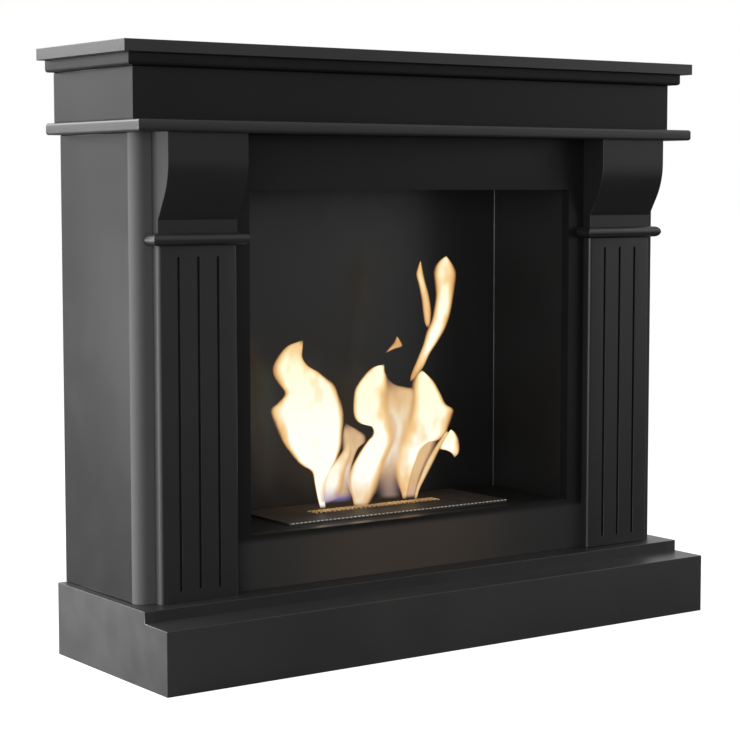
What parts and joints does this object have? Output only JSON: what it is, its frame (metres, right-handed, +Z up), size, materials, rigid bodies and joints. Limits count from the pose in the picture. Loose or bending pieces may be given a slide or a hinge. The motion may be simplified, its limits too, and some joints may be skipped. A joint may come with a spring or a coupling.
{
  "type": "bioethanol fireplace",
  "caption": "Free-standing classical mantel surround in black board with a steel firebox, a lift-out ethanol burner tray and a sliding flame shutter.",
  "frame": {"origin": "on the floor, under the middle of the whole object", "axes": "+Z up; +X to the right seen from the front; the front faces -Y and the flat back faces +Y"},
  "size_m": [1, 0.31, 0.85],
  "materials": {
    "painted_board": "satin black paint on medium-density fibreboard",
    "raw_batten": "sawn softwood",
    "back_board": "bare hardboard",
    "black_steel": "gloss black heat-proof paint",
    "bright_steel": "satin stainless sheet",
    "ceramic_wool": "matte white fibre",
    "zinc_screw": "bright zinc"
  },
  "bodies": {
    "surround": {"plinth_side_left": "painted_board", "plinth_side_right": "painted_board", "plinth_front": "painted_board", "plinth_tread": "painted_board", "plinth_ledge": "painted_board", "plinth_back_rail": "painted_board", "front_panel": "painted_board", "side_panel_left": "painted_board", "side_panel_right": "painted_board", "corner_batten_front_left": "raw_batten", "corner_batten_front_right": "raw_batten", "corner_batten_back_left": "raw_batten", "corner_batten_back_right": "raw_batten", "back_panel": "back_board", "back_screw_left_1": "zinc_screw", "back_screw_left_2": "zinc_screw", "back_screw_left_3": "zinc_screw", "back_screw_right_1": "zinc_screw", "back_screw_right_2": "zinc_screw", "back_screw_right_3": "zinc_screw", "pilaster_left": "painted_board", "pilaster_right": "painted_board", "capital_left": "painted_board", "capital_right": "painted_board", "corbel_left": "painted_board", "corbel_right": "painted_board", "mantel_rail": "painted_board", "frieze_front": "painted_board", "frieze_end_left": "painted_board", "frieze_end_right": "painted_board", "frieze_back_rail": "painted_board", "under_shelf": "painted_board", "mantel_shelf": "painted_board", "firebox_back": "black_steel", "firebox_side_left": "black_steel", "firebox_side_right": "black_steel", "firebox_roof": "black_steel", "firebox_floor": "black_steel", "firebox_support_left": "painted_board", "firebox_support_right": "painted_board", "firebox_screw_1": "zinc_screw", "firebox_screw_2": "zinc_screw", "firebox_screw_3": "zinc_screw", "firebox_screw_4": "zinc_screw", "firebox_screw_5": "zinc_screw", "firebox_screw_6": "zinc_screw"},
    "burner": {"burner_deck": "black_steel", "burner_mesh": "bright_steel", "burner_tank": "bright_steel", "ceramic_wool": "ceramic_wool", "shutter_guide_left": "bright_steel", "shutter_guide_right": "bright_steel"},
    "shutter": {"shutter": "black_steel"}
  },
  "joints": [
    {"name": "burner_lift", "type": "slide", "parent": "surround", "child": "burner", "axis": [0, 0, 1], "range_m": [0, 0.09]},
    {"name": "shutter_slide", "type": "slide", "parent": "burner", "child": "shutter", "axis": [0, -1, 0], "range_m": [0, 0.034]}
  ]
}
